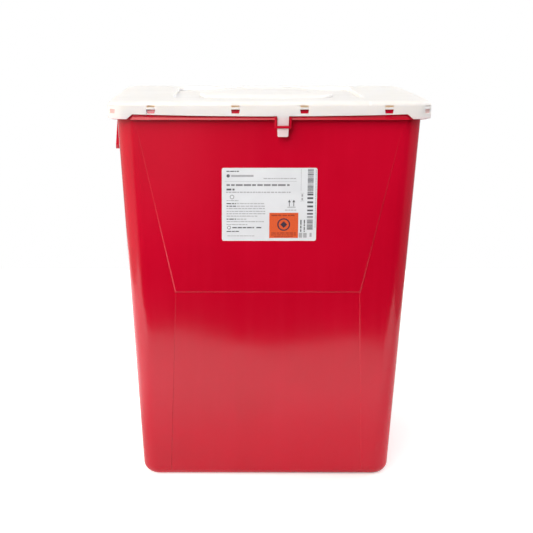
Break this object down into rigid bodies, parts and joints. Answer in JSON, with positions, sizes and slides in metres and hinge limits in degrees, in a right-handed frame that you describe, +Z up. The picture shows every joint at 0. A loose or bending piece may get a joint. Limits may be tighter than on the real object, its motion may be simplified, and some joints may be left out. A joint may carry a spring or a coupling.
{
  "type": "sharps container",
  "caption": "Tall drafted red tub with moulded hand grips, a white lid that snaps over the rim and has latch tabs, and a round hinged access door over a throat, with a front label.",
  "frame": {"origin": "centre of the resting face, on the surface that the tub stands on", "axes": "+Z up, -Y towards the front wall with the label, +X to the right seen from the front"},
  "size_m": [0.422, 0.3024, 0.5362],
  "materials": {
    "red_polypropylene": "moulded, satin gloss",
    "white_polypropylene": "moulded, slightly translucent",
    "gasket_rubber": "matt, tan",
    "white_nylon": "satin",
    "label_film": "printed film, satin"
  },
  "bodies": {
    "tub": {"container_body": "red_polypropylene", "front_label": "label_film"},
    "lid_assembly": {"lid": "white_polypropylene", "lid_gasket": "gasket_rubber", "hinge_pin_left": "white_nylon", "hinge_pin_right": "white_nylon"},
    "door": {"access_door": "white_polypropylene", "door_gasket": "gasket_rubber"}
  },
  "joints": [
    {"name": "lid_lift", "type": "slide", "parent": "tub", "child": "lid_assembly", "axis": [0, 0, 1], "range_m": [0, 0.08]},
    {"name": "door_hinge", "type": "hinge", "parent": "lid_assembly", "child": "door", "pos_m": [0, 0.114, 0.5326], "axis": [-1, 0, 0], "range_deg": [0, 120]}
  ]
}
